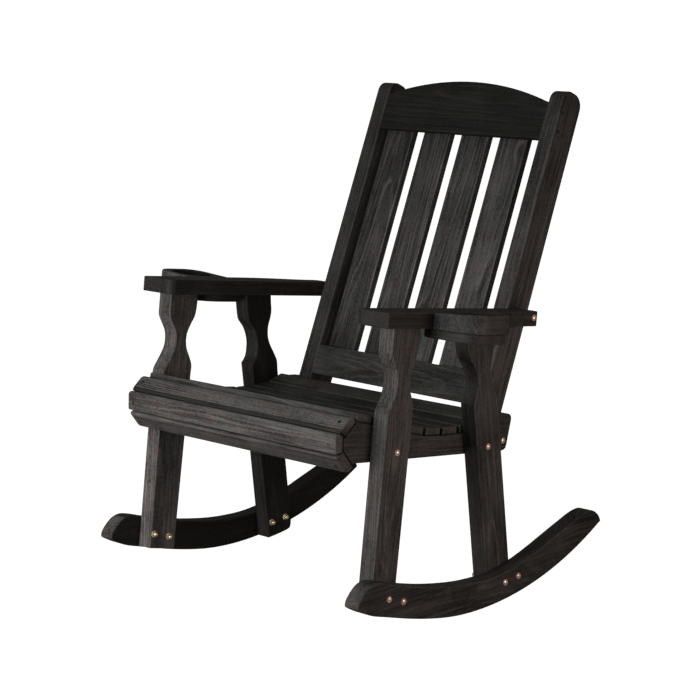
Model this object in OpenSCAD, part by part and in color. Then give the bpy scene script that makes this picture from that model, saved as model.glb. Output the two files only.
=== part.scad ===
// Outdoor mission rocking chair with a cup holder on each arm.
// Millimetres, +Z up, the chair faces -Y, +X is the sitter's left.
// The floor is Z = 0 and the chair rests on the lowest point of its rockers.

/* [Boards] */
// thickness of the rockers, legs, seat rails, back stiles and cup blocks
stock_t = 38.1; // [30:0.1:45]
// thickness of the armrest boards
arm_t = 31.8; // [22:0.1:40]
// thickness of the seat slats
slat_t = 17.8; // [12:0.1:25]
// thickness of the three slats around the front of the seat
nose_t = 22; // [12:0.1:28]
// thickness of the back slats and cup plates
thin_t = 19; // [12:0.5:25]
// thickness of the crest rail and the lower back rail
rail_t = 18; // [15:0.5:38]

/* [Width] */
// distance from the centre line to the outer face of a rocker
half_w = 383.5; // [340:0.5:420]
// how far the ends of the seat slats stand inside the outer faces of the seat rails
slat_inset = 2; // [0:0.5:10]

/* [Rockers] */
// how far the empty chair leans back from the drawing's upright position when it stands still
rest_tilt = 5.6; // [0:0.1:12]
// radius of the curve that the chair rocks on
rock_r = 832; // [600:1:1100]
// how far the feet of the legs stand above the rocking curve
foot_lift = 2.5; // [1:0.5:15]

/* [Seat] */
// width of one top slat, measured front to back
seat_slat_w = 44.5; // [35:0.5:60]
// gap between two top slats
seat_slat_gap = 8.7; // [4:0.1:15]

/* [Back] */
// recline of the back from upright, in degrees
recline = 22.6; // [10:0.1:35]
// length along the recline from the floor line to the top of the stiles
stile_top = 1131; // [900:1:1250]
// width of one back slat
back_slat_w = 77.4; // [60:0.1:100]
// gap between two back slats
back_slat_gap = 32.8; // [10:0.1:45]
// how far the four back slats sit off the centre line, toward the sitter's right
back_shift = 16.6; // [0:0.1:20]
// height of the crest rail's arch at the middle, above its ends
crest_rise = 38; // [10:1:60]

/* [Arms] */
// slope of the armrests down toward the back, in degrees
arm_slope = 6.9; // [0:0.01:12]
// radius of the cup hole
cup_r = 44.5; // [35:0.5:50]
// how far the outer edge of the cup block rises above the arm
cup_raise = 7.6; // [0:0.1:12]

/* [Fasteners] */
// radius of a carriage bolt's shank
bolt_r = 3.2; // [2.5:0.1:5]
// radius of a carriage bolt's domed head
head_r = 7.2; // [6:0.1:12]
// radius of a screw's head
screw_r = 4; // [3:0.1:6]

/* [Show] */
// which piece to draw

/* [Hidden] */

$fn = 48;
x_rock = half_w - stock_t;       // inner face of a rocker, outer face of a leg
x_leg = x_rock - stock_t;        // inner face of a leg, outer face of a seat rail
x_rail = x_leg - stock_t;        // inner face of a seat rail, outer face of a stile
x_stile = x_rail - stock_t;      // inner face of a stile

wood = [0.20, 0.18, 0.17];
wood2 = [0.27, 0.25, 0.24];
copper = [0.72, 0.45, 0.32];
brass = [0.80, 0.66, 0.36];
steel = [0.55, 0.53, 0.50];

// smooth curve through hand-placed points, steps pieces between two of them
function cr(a, b, c, d, t) = 0.5 * ((2 * b) + (c - a) * t
  + (2 * a - 5 * b + 4 * c - d) * t * t + (3 * b - a - 3 * c + d) * t * t * t);
function curve(p, steps) = [
  for (i = [0 : len(p) - 2]) for (k = [0 : steps - 1])
    cr(p[max(i - 1, 0)], p[i], p[i + 1], p[min(i + 2, len(p) - 1)], k / steps),
  p[len(p) - 1]];
function rev(p) = [for (i = [len(p) - 1 : -1 : 0]) p[i]];
// points of an arc about c, from angle a to angle b
function arc(c, r, a, b, n) = [for (i = [0 : n]) c + r * [cos(a + (b - a) * i / n), sin(a + (b - a) * i / n)]];

// a side profile drawn in (y, z), extruded along X from x0 to x1
module side(x0, x1) {
  translate([x0, 0, 0]) rotate([90, 0, 90]) linear_extrude(height = x1 - x0) children();
}
// the same for either side of the chair: s is 1 for the left, -1 for the right
module side_s(s, x0, x1) {
  if (s > 0) side(x0, x1) children(); else side(-x1, -x0) children();
}
// a straight shaft along X at (y, z)
module shaft(x0, x1, r, y, z) {
  translate([x0, y, z]) rotate([0, 90, 0]) cylinder(r = r, h = x1 - x0);
}
module shaft_s(s, x0, x1, r, y, z) {
  if (s > 0) shaft(x0, x1, r, y, z); else shaft(-x1, -x0, r, y, z);
}

// ---------- bolt places in (y, z) ----------
rocker_bolt_at = [[-280, 86], [-238, 72], [79, 41], [122, 45.5]];
front_rail_bolt = [-216, 362];
back_rail_bolt = [63.5, 327];
stile_bolt = [158, 318];
bore_r = bolt_r + 0.3;

// ---------- rocker ----------
rocker_top = curve([[-367, 84], [-364.5, 95], [-352, 109.5], [-335, 121.5], [-314, 125.5], [-290, 120.5],
  [-250, 108], [-200, 94], [-150, 82], [-100, 72.5], [-50, 65], [0, 61], [50, 60], [100, 64.5],
  [150, 75.5], [200, 90], [250, 106.5], [300, 122.5], [335, 133.5], [364, 138.5], [384, 135.5], [402, 123], [410.5, 108]], 2);

// the underside follows the big circle, but for its front part, which is a little straighter
rocker_under = curve([[-363.5, 81.1], [-345, 70.9], [-330, 64], [-315, 58.7], [-300, 54.4], [-286, 50.7], [-265, 44.6], [-240, 37.6],
  [-220, 32.1], [-195, 25.8], [-170, 20], [-145, 14.8], [-120, 10.1], [-90, 5.5], [-60, 2.4], [-30, 0.5]], 2);

module rocker(s) {
  color(wood) posed() difference() {
    union() {
      side_s(s, x_rock, half_w) polygon(concat([[-366.8, 84.2]], [for (p = rocker_under) if (p[0] < -285) p], [[-286, 62], [-345, 95]]));
      intersection() {
      side_s(s, x_rock, half_w) polygon(concat([[411.5, 60], [300, -5], [-300, -5], [-368, 60]], rocker_top));
      translate([s * (half_w - stock_t / 2), 0, rock_r]) rotate([0, 90, 0])
        cylinder(r = rock_r, h = stock_t + 10, center = true, $fn = 400);
      }
    }
    side_s(s, x_rock - 2, half_w + 2) polygon(concat([for (p = rocker_under) if (p[0] > -287) p], [[-30, -20], [-286, -20]]));
    for (b = rocker_bolt_at) shaft_s(s, x_rock - 5, half_w + 5, bore_r, b[0], b[1]);
  }
}

// ---------- legs ----------
front_leg_front_left = curve([[-244.5, 424], [-241, 442], [-232, 457], [-223.5, 473], [-217, 490], [-214.5, 508], [-216, 525], [-223.5, 543], [-229, 560], [-227.5, 578], [-224.5, 600]], 3);
front_leg_front_right = curve([[-245, 424], [-242, 442], [-232, 457], [-219.5, 473], [-209.5, 490], [-206, 508], [-208, 525], [-216.5, 543], [-223, 560], [-221.5, 578], [-218.5, 600]], 3);
front_leg_back_left = curve([[-170, 424], [-167.5, 444], [-170.5, 463], [-176, 482], [-176, 500], [-172, 517], [-162, 534], [-153, 551], [-149, 569], [-146.5, 585]], 3);
front_leg_back_right = curve([[-164.5, 424], [-161.5, 444], [-167, 463], [-174.5, 482], [-176, 500], [-172, 517], [-161.5, 534], [-149, 551], [-143.5, 569], [-140.5, 585]], 3);
back_leg_front_left = curve([[20, 419], [25.5, 432], [31, 450], [31.5, 468], [27.5, 487], [18.5, 504], [6.5, 519], [1, 536], [-1, 556]], 3);
back_leg_front_right = curve([[22, 419], [33.5, 433], [37.5, 450], [38.5, 468], [34, 487], [25.5, 504], [13.5, 519], [9.5, 536], [7.5, 556]], 3);
back_leg_back_left = curve([[98, 398], [96.5, 418], [88, 438], [77, 458], [72, 478], [72.5, 500], [77, 516], [80, 534], [77.5, 554]], 3);
back_leg_back_right = curve([[102.5, 398], [101, 418], [91, 438], [79.5, 458], [73, 478], [74, 500], [80, 516], [84.5, 534], [83.5, 554]], 3);

// the underside of the armrest, as a height at y
function arm_under(y) = arm_z0 - (y - arm_y0) * tan(arm_slope) - arm_t / cos(arm_slope);
arm_y0 = -251.5;
arm_z0 = 645.8;

// front and back of each leg's top, where it meets the arm
function front_leg_top_a(s) = s > 0 ? -224 : -218;
function front_leg_top_b(s) = s > 0 ? -145.5 : -139.5;
function back_leg_top_a(s) = s > 0 ? -2 : 6.5;
function back_leg_top_b(s) = s > 0 ? 77 : 83;

module leg_cut(s) {
  translate([s * (x_leg + stock_t / 2), 0, rock_r]) rotate([0, 90, 0])
    cylinder(r = rock_r - foot_lift, h = stock_t + 10, center = true, $fn = 400);
}

module front_leg(s) {
  color(wood2) posed() difference() {
    intersection() {
      side_s(s, x_leg, x_rock) polygon(concat(
        [[-292.5, 54.6]], s > 0 ? front_leg_front_left : front_leg_front_right,
        [[front_leg_top_a(s), arm_under(front_leg_top_a(s))], [front_leg_top_b(s), arm_under(front_leg_top_b(s))]],
        rev(s > 0 ? front_leg_back_left : front_leg_back_right), [[-221.6, 40]]));
      leg_cut_tall(s);
    }
    shaft_s(s, x_leg - 5, x_rock + 5, bore_r, rocker_bolt_at[0][0], rocker_bolt_at[0][1]);
    shaft_s(s, x_leg - 5, x_rock + 5, bore_r, rocker_bolt_at[1][0], rocker_bolt_at[1][1]);
    shaft_s(s, x_leg - 5, x_rock + 5, bore_r, front_rail_bolt[0], front_rail_bolt[1]);
    arm_screw_holes(s, 1);
  }
}

module back_leg(s) {
  color(wood2) posed() difference() {
    intersection() {
      side_s(s, x_leg, x_rock) polygon(concat(
        [[71 - 0.122 * 2, 2]], s > 0 ? back_leg_front_left : back_leg_front_right,
        [[back_leg_top_a(s), arm_under(back_leg_top_a(s))], [back_leg_top_b(s), arm_under(back_leg_top_b(s))]],
        rev(s > 0 ? back_leg_back_left : back_leg_back_right), [[147.8 - 0.135 * 52, 52], [143, 34], [142.5, 24], [139, 16], [130, 8], [110, 0]]));
      leg_cut_tall(s);
    }
    shaft_s(s, x_leg - 5, x_rock + 5, bore_r, rocker_bolt_at[2][0], rocker_bolt_at[2][1]);
    shaft_s(s, x_leg - 5, x_rock + 5, bore_r, rocker_bolt_at[3][0], rocker_bolt_at[3][1]);
    shaft_s(s, x_leg - 5, x_rock + 5, bore_r, back_rail_bolt[0], back_rail_bolt[1]);
    arm_screw_holes(s, 2);
  }
}
// the legs reach 610 mm up, which is inside the big circle everywhere
module leg_cut_tall(s) { leg_cut(s); }

// ---------- seat ----------
// each top slat's slope, front to back; the rail's top edge is the line under them
seat_slopes = [-0.28, -0.33, -0.33, -0.27, -0.15, -0.08, 0.06, 0.30];
seat_start = [-288.5, 429];
function sdir(i) = [1, seat_slopes[i]] / norm([1, seat_slopes[i]]);
function seat_at(i) = i == 0 ? seat_start
  : seat_at(i - 1) + sdir(i - 1) * seat_slat_w + sdir(i - 1) * seat_slat_gap;
function nrm(d) = [-d[1], d[0]];
// the nose slats: inner corner, direction along the slat, width of the inner face,
// and how far the outer face runs past the inner one at its start and its end
nose = [[[-323.8, 375.4], [0.614, -0.789], 43.5, 7, 0],
        [[-325.2, 405.5], [-0.037, -1.0], 30, 14.5, 3.5],
        [[-320.3, 402.5], [0.768, 0.640], 41, 5, 0]];

function rail_under(y) = 314 - 0.1136 * y;
rail_outline = concat(
  [[-302.5, rail_under(-302.5)], [-323.8, 375.4], [-326.2, 380], [-325.2, 402.5], [-320.3, 402.5]],
  [for (i = [0 : 7]) each [seat_at(i), seat_at(i) + sdir(i) * seat_slat_w]],
  [[seat_at(7)[0] + seat_slat_w * sdir(7)[0] + 1, 381.5], [150, 379], [172, 374.5], [184, 371],
   [188.5, 366], [189, 359], [174, 307], [171, 300], [165, 296.5], [158, rail_under(158)]]);

module seat_rail(s) {
  color(wood) posed() difference() {
    side_s(s, x_rail, x_leg) polygon(rail_outline);
    for (b = [front_rail_bolt, back_rail_bolt, stile_bolt])
      shaft_s(s, x_rail - 5, x_leg + 5, bore_r, b[0], b[1]);
    seat_screw_shape(s);
  }
}

// a slat lying on the rails: a is its lower corner in (y, z), d its direction, w its width
module slat(a, d, w) {
  n = nrm(d);
  side(-(x_leg - slat_inset), x_leg - slat_inset)
    polygon([a, a + d * w, a + d * w + n * slat_t, a + n * slat_t]);
}
module seat_slat(i) {
  color(i % 2 == 0 ? wood : wood2) posed() difference() {
    slat(seat_at(i), sdir(i), seat_slat_w);
    seat_screw_shape(1, i);
    seat_screw_shape(-1, i);
  }
}
module nose_slat(i) {
  d = nose[i][1] / norm(nose[i][1]);
  n = i < 2 ? -nrm(d) : nrm(d);
  color(i % 2 == 0 ? wood2 : wood) posed() difference() {
    side(-(x_leg - slat_inset), x_leg - slat_inset)
      polygon([nose[i][0], nose[i][0] + d * nose[i][2],
        nose[i][0] + d * (nose[i][2] + nose[i][4]) + n * nose_t, nose[i][0] - d * nose[i][3] + n * nose_t]);
    seat_screw_shape(1, 8 + i);
    seat_screw_shape(-1, 8 + i);
  }
}

// ---------- seat screws: one in each end of each slat, along the slat's normal ----------
screw_x = x_rail + stock_t / 2;
// foot of each screw on the rail's top edge, and the outward normal there
function screw_foot(i) = i < 8 ? seat_at(i) + sdir(i) * seat_slat_w / 2
  : nose[i - 8][0] + nose[i - 8][1] / norm(nose[i - 8][1]) * nose[i - 8][2] / 2;
function screw_t(i) = i < 8 ? slat_t : nose_t;
function screw_nrm(i) = i < 8 ? nrm(sdir(i))
  : (i - 8 < 2 ? -1 : 1) * nrm(nose[i - 8][1] / norm(nose[i - 8][1]));
module one_seat_screw(s, i) {
  f = screw_foot(i);
  n = screw_nrm(i);
  translate([s * screw_x, f[0], f[1]]) rotate([atan2(n[1], n[0]) - 90, 0, 0]) {
    translate([0, 0, -18]) cylinder(r = 1.8, h = 18 + screw_t(i) - 3, $fn = 16);
    translate([0, 0, screw_t(i) - 3.2]) cylinder(r = screw_r, h = 2.4, $fn = 24);
  }
}
module one_seat_hole(s, i) {
  f = screw_foot(i);
  n = screw_nrm(i);
  translate([s * screw_x, f[0], f[1]]) rotate([atan2(n[1], n[0]) - 90, 0, 0]) {
    translate([0, 0, -18]) cylinder(r = 1.8, h = 18 + screw_t(i) - 3, $fn = 16);
    translate([0, 0, screw_t(i) - 3.2]) cylinder(r = screw_r, h = 6, $fn = 24);
  }
}
module seat_screw_shape(s, i = -1) {
  if (i < 0) { for (k = [0 : 10]) one_seat_hole(s, k); } else one_seat_hole(s, i);
}
module seat_screws() {
  color(steel) posed() for (s = [-1, 1]) for (k = [0 : 10]) one_seat_screw(s, k);
}

// ---------- back ----------
back_y0 = -29.3;
// frame of the reclined back: X across, Y is depth behind the stile's front edge, Z along the recline
module lean() { translate([0, back_y0, 0]) rotate([-recline, 0, 0]) children(); }
function lean_pt(p) = [back_y0 + p[0] * cos(recline) + p[1] * sin(recline), p[1] * cos(recline) - p[0] * sin(recline)];
stile_r = 25;
stile_profile = concat([[0, 300]],
  rev(arc([stile_r, stile_top - stile_r], stile_r, 90, 180, 8)),
  rev(arc([67.8 - stile_r - 4, stile_top - stile_r - 4], stile_r + 4, 0, 90, 8)),
  [[72.7, 442], [73.7, 300]]);

// The profiles are drawn upright, with (0, 0) under the middle of the rocking curve.
// An empty chair rolls back on that curve until its weight is over the floor line,
// so each piece is turned about the curve's centre, and then centred in Y.
function posed_y(p) = p[0] * cos(rest_tilt) + (p[1] - rock_r) * sin(rest_tilt);
y_front = min([for (p = rocker_top) posed_y(p)]);
y_back = max([for (p = stile_profile) posed_y(lean_pt(p))]);
y_mid = (y_front + y_back) / 2;
module posed() {
  translate([0, -y_mid, rock_r]) rotate([-rest_tilt, 0, 0]) translate([0, 0, -rock_r]) children();
}

module back_stile(s) {
  color(wood) posed() difference() {
    intersection() {
      lean() translate([s > 0 ? x_stile : -x_rail, 0, 0]) rotate([90, 0, 90])
        linear_extrude(height = stock_t) polygon(stile_profile);
      // the foot is cut along the seat rail's lower edge
      side(-x_leg, x_leg) polygon([[-100, rail_under(-100) + 3], [600, rail_under(600) + 3], [600, 1200], [-100, 1200]]);
    }
    shaft_s(s, x_stile - 5, x_rail + 5, bore_r, stile_bolt[0], stile_bolt[1]);
    shaft_s(s, x_stile + 5.5, x_rail + 5, bore_r, arm_bolt_at[0], arm_bolt_at[1]);
    stile_screw_shape(s, true);
  }
}

crest_low = 1015;
crest_end = 1098.5;
crest_r = (x_stile * x_stile + crest_rise * crest_rise) / (2 * crest_rise);
module crest_rail() {
  color(wood2) posed() lean() difference() {
    translate([0, rail_t + 0.5, 0]) rotate([90, 0, 0]) linear_extrude(height = rail_t)
      polygon(concat([[-x_stile, crest_low], [x_stile, crest_low], [x_stile, crest_end]],
        [for (i = [1 : 23]) let (x = x_stile * (1 - i / 12)) [x, crest_end + crest_rise - crest_r + sqrt(crest_r * crest_r - x * x)]],
        [[-x_stile, crest_end]]));
    for (s = [-1, 1]) for (k = [0, 1]) stile_pilot(s, k);
    for (i = [0 : 3]) for (e = [-1, 1]) back_screw_hole(back_x(i) + e * 22, 1056);
  }
}
low_rail_a = 429;
low_rail_b = 495;
low_rail_drop = 5;  // the lower edge runs down a little toward the left end
module lower_back_rail() {
  color(wood2) posed() lean() difference() {
    translate([0, 0.5 + rail_t, 0]) rotate([90, 0, 0]) linear_extrude(height = rail_t)
      polygon([[-x_stile, low_rail_a - 1], [x_stile, low_rail_a - low_rail_drop], [x_stile, low_rail_b], [-x_stile, low_rail_b]]);
    for (s = [-1, 1]) for (k = [2, 3]) stile_pilot(s, k);
    for (i = [0 : 3]) for (e = [-1, 1]) back_screw_hole(back_x(i) + e * 22, 461);
  }
}
function back_x(i) = -back_shift + (i - 1.5) * (back_slat_w + back_slat_gap);
module back_slat(i) {
  color(i % 2 == 0 ? wood : wood2) posed() lean() difference() {
    translate([back_x(i) - back_slat_w / 2, rail_t + 0.5, 433]) cube([back_slat_w, thin_t, 1080 - 433]);
    for (e = [-1, 1]) { back_screw_hole(back_x(i) + e * 22, 1056); back_screw_hole(back_x(i) + e * 22, 461); }
  }
}
// screws from behind: head flush in the slat's rear face, point in the rail
module back_screw_at(x, z, over) {
  translate([x, 0, z]) rotate([-90, 0, 0]) {
    translate([0, 0, 7]) cylinder(r = 1.8, h = rail_t + 0.5 + thin_t - 7 - 2.4, $fn = 16);
    translate([0, 0, rail_t + 0.5 + thin_t - 2.8]) cylinder(r = screw_r, h = 2.4 + over, $fn = 24);
  }
}
module back_screw_hole(x, z) { back_screw_at(x, z, 4); }
module back_screws() {
  color(steel) posed() lean() for (i = [0 : 3]) for (e = [-1, 1]) for (z = [1056, 461]) back_screw_at(back_x(i) + e * 22, z, 0);
}
// screws through the stiles into the ends of the two rails
stile_screw_z = [1036, 1078, 446, 476];
module stile_pilot(s, k) {
  translate([s > 0 ? x_stile - 32 : -x_stile - 5, rail_t / 2 + 0.5, stile_screw_z[k]]) rotate([0, 90, 0])
    cylinder(r = 1.8, h = 37, $fn = 16);
}
module stile_screw_at(s, k, over) {
  translate([s * (x_stile - 32), rail_t / 2 + 0.5, stile_screw_z[k]]) rotate([0, s * 90, 0]) {
    cylinder(r = 1.8, h = 32 + stock_t - 2.5, $fn = 16);
    translate([0, 0, 32 + stock_t - 3]) cylinder(r = screw_r, h = 2.4 + over, $fn = 24);
  }
}
module stile_screw_shape(s, hole) { lean() for (k = [0 : 3]) stile_screw_at(s, k, hole ? 5 : 0); }
module stile_screws() { color(steel) posed() for (s = [-1, 1]) stile_screw_shape(s, false); }

// ---------- arms ----------
// frame of an armrest: X across, Y along the arm from its front end, Z up from the top face
module arm_frame() { translate([0, arm_y0, arm_z0]) rotate([-arm_slope, 0, 0]) children(); }
module mir(s) { if (s > 0) children(); else mirror([1, 0, 0]) children(); }
arm_out = x_rail + 89;
arm_len = 506;
arm_plan = concat(
  arc([x_rail + 18, 18], 18, 180, 270, 6),
  arc([arm_out - 4, 4], 4, 270, 360, 3),
  curve([[arm_out, 300], [arm_out - 0.5, 330], [arm_out - 5, 365], [arm_out - 14, 405], [arm_out - 23, 440], [arm_out - 28, 470]], 3),
  arc([arm_out - 28 - 14, 492], 14, 0, 90, 5),
  [[x_rail, arm_len]]);
// lag bolt through the narrow end of the arm into the stile, in (y, z)
arm_bolt_at = [228.5, 574.2];
arm_bolt_x = arm_out - 28;

module armrest(s) {
  color(wood) posed() difference() {
    arm_frame() mir(s) translate([0, 0, -arm_t]) linear_extrude(height = arm_t) polygon(arm_plan);
    shaft_s(s, x_rail - 5, arm_out + 20, bore_r, arm_bolt_at[0], arm_bolt_at[1]);
    arm_screw_holes(s, 0);
  }
}

cup_t0 = 129.5;
cup_t1 = 250;
cup_out = arm_out + 114;
cup_x = arm_out + 55;
cup_y = 190;
cup_tilt = atan(cup_raise / 114);  // the block's top climbs toward its outer edge
block_plan = concat([[arm_out, cup_t0]],
  arc([cup_out - 44, cup_t0 + 44], 44, 270, 360, 8),
  arc([cup_out - 40, cup_t1 - 40], 40, 0, 90, 10),
  [[arm_out, cup_t1]]);

module cup_block(s) {
  color(wood2) posed() arm_frame() mir(s) difference() {
    translate([0, 0, -arm_t]) linear_extrude(height = arm_t + cup_raise + 1) polygon(block_plan);
    translate([arm_out, 0, 0]) rotate([0, -cup_tilt, 0]) translate([-40, 0, 0]) cube([240, 400, 60]);
    translate([cup_x, cup_y, -arm_t - 5]) cylinder(r = cup_r, h = arm_t + cup_raise + 10, $fn = 96);
    for (p = [[arm_out + 12, cup_t0 + 12], [arm_out + 12, cup_t1 - 12]]) arm_plate_screw(p, false);
  }
}
plate_plan = concat(
  arc([x_leg + 55, cup_t0 + 55], 55, 180, 270, 8),
  arc([cup_out - 4 - 42, cup_t0 + 42], 42, 270, 360, 8),
  arc([cup_out - 4 - 38, cup_t1 - 4 - 38], 38, 0, 90, 10),
  arc([x_leg + 12, cup_t1 - 4 - 12], 12, 90, 180, 4));
module cup_plate(s) {
  color(wood) posed() arm_frame() mir(s) difference() {
    translate([0, 0, -arm_t - thin_t]) linear_extrude(height = thin_t) polygon(plate_plan);
    for (p = plate_screws) arm_plate_screw(p, false);
  }
}
// screws up through the plate: two into the arm, two into the block
plate_screws = [[x_leg + 28, cup_t0 + 34], [x_leg + 28, cup_t1 - 30], [arm_out + 12, cup_t0 + 12], [arm_out + 12, cup_t1 - 12]];
module arm_plate_screw(p, solid) {
  translate([p[0], p[1], -arm_t - thin_t]) {
    translate([0, 0, 2]) cylinder(r = 1.8, h = 40, $fn = 16);
    translate([0, 0, solid ? 0.4 : -4]) cylinder(r = screw_r, h = solid ? 2.4 : 6.8, $fn = 24);
  }
}
// screws down through the arm into the tops of the legs, in the arm's own frame
leg_screws = [[x_leg + stock_t / 2, 56], [x_leg + stock_t / 2, 92], [x_leg + stock_t / 2, 282], [x_leg + stock_t / 2, 318]];
module arm_leg_screw(p, solid) {
  translate([p[0], p[1], 0]) {
    translate([0, 0, -66]) cylinder(r = 1.8, h = 64, $fn = 16);
    translate([0, 0, -2.8]) cylinder(r = screw_r, h = solid ? 2.4 : 6, $fn = 24);
  }
}
module arm_screw_holes(s, which) {
  arm_frame() mir(s) {
    if (which == 0) {
      for (p = leg_screws) arm_leg_screw(p, false);
      for (i = [0, 1]) arm_plate_screw(plate_screws[i], false);
    }
    if (which == 1) for (i = [0, 1]) arm_leg_screw(leg_screws[i], false);
    if (which == 2) for (i = [2, 3]) arm_leg_screw(leg_screws[i], false);
  }
}
module arm_screws() {
  color(steel) posed() arm_frame() for (s = [-1, 1]) mir(s) {
    for (p = leg_screws) arm_leg_screw(p, true);
    for (p = plate_screws) arm_plate_screw(p, true);
  }
}

// ---------- bolts and cap nuts ----------
// domed head on the outer face at x1, shank to 5 mm past x0
module bolt(s, x0, x1, y, z) {
  mir(s) translate([x1, y, z]) rotate([0, 90, 0]) rotate_extrude($fn = 48)
    polygon(concat([[0, -(x1 - x0) - 5], [bolt_r, -(x1 - x0) - 5], [bolt_r, 0], [head_r, 0], [head_r, 0.6]],
      [for (i = [1 : 7]) [head_r * cos(i * 90 / 8), 0.6 + 4.6 * sin(i * 90 / 8)]], [[0, 5.2]]));
}
// washer and cap nut on the inner face at x0, open at the face for the shank
module cap_nut(s, x0, y, z) {
  mir(s) translate([x0, y, z]) rotate([0, -90, 0]) difference() {
    union() {
      cylinder(r = 7.6, h = 1.3);
      translate([0, 0, 1.3]) cylinder(r = 6.4, h = 5, $fn = 6);
      translate([0, 0, 1.3]) rotate_extrude($fn = 48)
        polygon(concat([[0, 0], [5, 0], [5, 5.6]], [for (i = [1 : 7]) [5 * cos(i * 90 / 8), 5.6 + 4.4 * sin(i * 90 / 8)]], [[0, 10]]));
    }
    translate([0, 0, -1]) cylinder(r = bolt_r, h = 6);
  }
}
module rocker_bolts(s) { color(copper) posed() for (b = rocker_bolt_at) bolt(s, x_leg, half_w, b[0], b[1]); }
module rocker_nuts(s) { color(brass) posed() for (b = rocker_bolt_at) cap_nut(s, x_leg, b[0], b[1]); }
module seat_bolts(s) {
  color(copper) posed() {
    for (b = [front_rail_bolt, back_rail_bolt]) bolt(s, x_rail, x_rock, b[0], b[1]);
    bolt(s, x_stile, x_leg, stile_bolt[0], stile_bolt[1]);
  }
}
module seat_nuts(s) {
  color(brass) posed() {
    for (b = [front_rail_bolt, back_rail_bolt]) cap_nut(s, x_rail, b[0], b[1]);
    cap_nut(s, x_stile, stile_bolt[0], stile_bolt[1]);
  }
}
module arm_bolt(s) { color(copper) posed() bolt(s, x_stile + 11, arm_bolt_x, arm_bolt_at[0], arm_bolt_at[1]); }

rocker(1);  // rocker_left
rocker(-1);  // rocker_right
front_leg(1);  // front_leg_left
front_leg(-1);  // front_leg_right
back_leg(1);  // back_leg_left
back_leg(-1);  // back_leg_right
seat_rail(1);  // seat_rail_left
seat_rail(-1);  // seat_rail_right
nose_slat(0);  // nose_slat_1
nose_slat(1);  // nose_slat_2
nose_slat(2);  // nose_slat_3
seat_slat(0);  // seat_slat_1
seat_slat(1);  // seat_slat_2
seat_slat(2);  // seat_slat_3
seat_slat(3);  // seat_slat_4
seat_slat(4);  // seat_slat_5
seat_slat(5);  // seat_slat_6
seat_slat(6);  // seat_slat_7
seat_slat(7);  // seat_slat_8
back_stile(1);  // back_stile_left
back_stile(-1);  // back_stile_right
crest_rail();
lower_back_rail();
back_slat(0);  // back_slat_1
back_slat(1);  // back_slat_2
back_slat(2);  // back_slat_3
back_slat(3);  // back_slat_4
armrest(1);  // armrest_left
armrest(-1);  // armrest_right
cup_block(1);  // cup_block_left
cup_block(-1);  // cup_block_right
cup_plate(1);  // cup_plate_left
cup_plate(-1);  // cup_plate_right
rocker_bolts(1);  // rocker_bolts_left
rocker_bolts(-1);  // rocker_bolts_right
rocker_nuts(1);  // rocker_nuts_left
rocker_nuts(-1);  // rocker_nuts_right
seat_bolts(1);  // seat_bolts_left
seat_bolts(-1);  // seat_bolts_right
seat_nuts(1);  // seat_nuts_left
seat_nuts(-1);  // seat_nuts_right
arm_bolt(1);  // arm_bolt_left
arm_bolt(-1);  // arm_bolt_right
seat_screws();
back_screws();
stile_screws();
arm_screws();
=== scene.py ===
import bpy, bmesh, math, random
from mathutils import Vector, Matrix


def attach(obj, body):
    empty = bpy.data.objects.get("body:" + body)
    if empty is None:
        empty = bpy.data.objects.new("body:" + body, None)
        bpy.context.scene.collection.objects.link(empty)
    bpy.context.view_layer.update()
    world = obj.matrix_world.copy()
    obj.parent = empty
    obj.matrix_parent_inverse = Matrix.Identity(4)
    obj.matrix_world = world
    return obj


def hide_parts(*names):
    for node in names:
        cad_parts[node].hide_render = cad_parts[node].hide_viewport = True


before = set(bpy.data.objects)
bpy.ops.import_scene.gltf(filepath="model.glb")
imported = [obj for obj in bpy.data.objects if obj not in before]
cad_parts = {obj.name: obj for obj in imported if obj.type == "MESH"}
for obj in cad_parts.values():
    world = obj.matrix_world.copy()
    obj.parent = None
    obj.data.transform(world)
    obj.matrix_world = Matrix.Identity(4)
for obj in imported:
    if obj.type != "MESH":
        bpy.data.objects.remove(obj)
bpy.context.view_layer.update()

random.seed(11)
scene = bpy.context.scene
RAD = math.radians

# ------------------------------------------------------------------ the chair's own measures, in mm
STOCK, ARM_T, SLAT_T, NOSE_T, THIN_T, RAIL_T = 38.1, 31.8, 17.8, 22.0, 19.0, 18.0
HALF_W, INSET = 383.5, 2.0
TILT, ROCK_R, LIFT = 5.6, 832.0, 2.5
SLAT_W, SLAT_GAP = 44.5, 8.7
RECL, STILE_TOP, CREST_RISE = 22.6, 1131.0, 38.0
BACK_W, BACK_GAP, BACK_SHIFT = 77.4, 32.8, 16.6
ARM_A, CUP_R, CUP_RAISE = 6.9, 44.5, 7.6
BOLT_R, HEAD_R, SCREW_R = 3.2, 7.2, 4.0
X_ROCK = HALF_W - STOCK
X_LEG = X_ROCK - STOCK
X_RAIL = X_LEG - STOCK
X_STILE = X_RAIL - STOCK
BACK_Y0, ARM_Y0, ARM_Z0 = -29.3, -251.5, 645.8


def cr(a, b, c, d, t):
    return [0.5 * ((2 * b[i]) + (c[i] - a[i]) * t + (2 * a[i] - 5 * b[i] + 4 * c[i] - d[i]) * t * t
            + (3 * b[i] - a[i] - 3 * c[i] + d[i]) * t ** 3) for i in (0, 1)]


def curve(p, steps):
    out = []
    for i in range(len(p) - 1):
        for k in range(steps):
            out.append(cr(p[max(i - 1, 0)], p[i], p[i + 1], p[min(i + 2, len(p) - 1)], k / steps))
    return out + [list(p[-1])]


def arc(c, r, a, b, n):
    return [[c[0] + r * math.cos(RAD(a + (b - a) * i / n)), c[1] + r * math.sin(RAD(a + (b - a) * i / n))] for i in range(n + 1)]


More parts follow.
